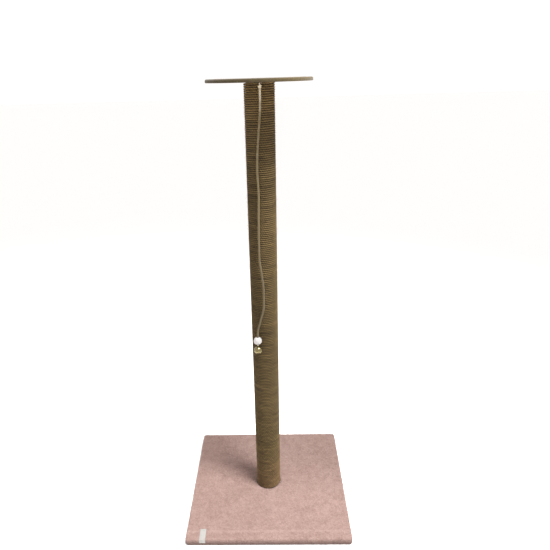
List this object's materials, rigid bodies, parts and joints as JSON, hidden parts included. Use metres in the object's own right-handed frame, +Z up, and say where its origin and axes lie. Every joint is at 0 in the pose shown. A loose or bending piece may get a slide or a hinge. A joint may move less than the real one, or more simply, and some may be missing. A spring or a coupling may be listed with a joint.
{
  "type": "cat scratching post",
  "caption": "Tall cat scratching post: plush-covered square base, sisal-wound tube, cat-head perch with felt top, and a ball and bell on a hanging cord.",
  "frame": {"origin": "on the floor, under the middle of the square base, at the foot pads' underside", "axes": "+Z up along the post, front towards -Y (the toy's side), +X to the right seen from the front; the perch's ears point to +Y"},
  "size_m": [0.6, 0.6, 1.548],
  "materials": {
    "chipboard": "pressed wood chips, plain",
    "plush": "short brushed plush pile, dusty pink",
    "zinc_wire": "thin galvanised wire",
    "foot_felt": "dense dark felt",
    "tag_weave": "fine woven ribbon, blank",
    "zinc_steel": "zinc plated",
    "black_steel": "black oxide",
    "cardboard": "spiral wound kraft board",
    "plug_wood": "turned softwood",
    "sisal": "twisted sisal rope, brown",
    "perch_felt": "speckled grey-beige felt",
    "white_cord": "soft twisted cord, off-white",
    "toy_cord": "soft twisted cord, tan",
    "white_lacquer": "smooth white",
    "bell_brass": "polished, slightly dulled"
  },
  "bodies": {
    "post": {"base_board": "chipboard", "base_cover": "plush", "cover_staples": "zinc_wire", "foot_pad_front_left": "foot_felt", "foot_pad_front_right": "foot_felt", "foot_pad_rear_left": "foot_felt", "foot_pad_rear_right": "foot_felt", "woven_tag": "tag_weave", "base_bolt": "zinc_steel", "base_washer": "zinc_steel", "post_tube": "cardboard", "lower_plug": "plug_wood", "upper_plug": "plug_wood", "lower_plug_brads": "zinc_wire", "upper_plug_brads": "zinc_wire", "lower_nut": "zinc_steel", "upper_nut": "zinc_steel", "sisal_lower": "sisal", "sisal_middle": "sisal", "sisal_upper": "sisal", "lower_rope_tack": "zinc_steel", "upper_rope_tack": "zinc_steel", "perch_board": "chipboard", "perch_felt": "perch_felt", "perch_bolt": "black_steel", "perch_washer": "black_steel", "toy_staple": "zinc_wire"},
    "toy_hanger": {"toy_top_knot": "white_cord"},
    "toy_line": {"toy_cord": "toy_cord", "toy_end_knot": "toy_cord"},
    "ball": {"toy_ball": "white_lacquer"},
    "bell": {"bell_eye": "bell_brass", "bell_top": "bell_brass", "bell_bottom": "bell_brass"},
    "pellet": {"bell_pellet": "zinc_steel"}
  },
  "joints": [
    {"name": "toy_swing_out", "type": "hinge", "parent": "post", "child": "toy_hanger", "pos_m": [0.003, -0.06, 1.533], "axis": [-1, 0, 0], "range_deg": [0, 75]},
    {"name": "toy_swing_side", "type": "hinge", "parent": "toy_hanger", "child": "toy_line", "pos_m": [0.003, -0.06, 1.5272], "axis": [0, 1, 0], "range_deg": [-30, 30]},
    {"name": "ball_spin", "type": "hinge", "parent": "toy_line", "child": "ball", "pos_m": [-0.025, -0.0625, 0.7065], "axis": [0, 0, 1], "continuous": true},
    {"name": "bell_swing", "type": "hinge", "parent": "toy_line", "child": "bell", "pos_m": [-0.025, -0.0625, 0.6878], "axis": [0, 1, 0], "range_deg": [-40, 40]},
    {"name": "pellet_rattle", "type": "slide", "parent": "bell", "child": "pellet", "axis": [0, 0, 1], "range_m": [0, 0.018]}
  ]
}
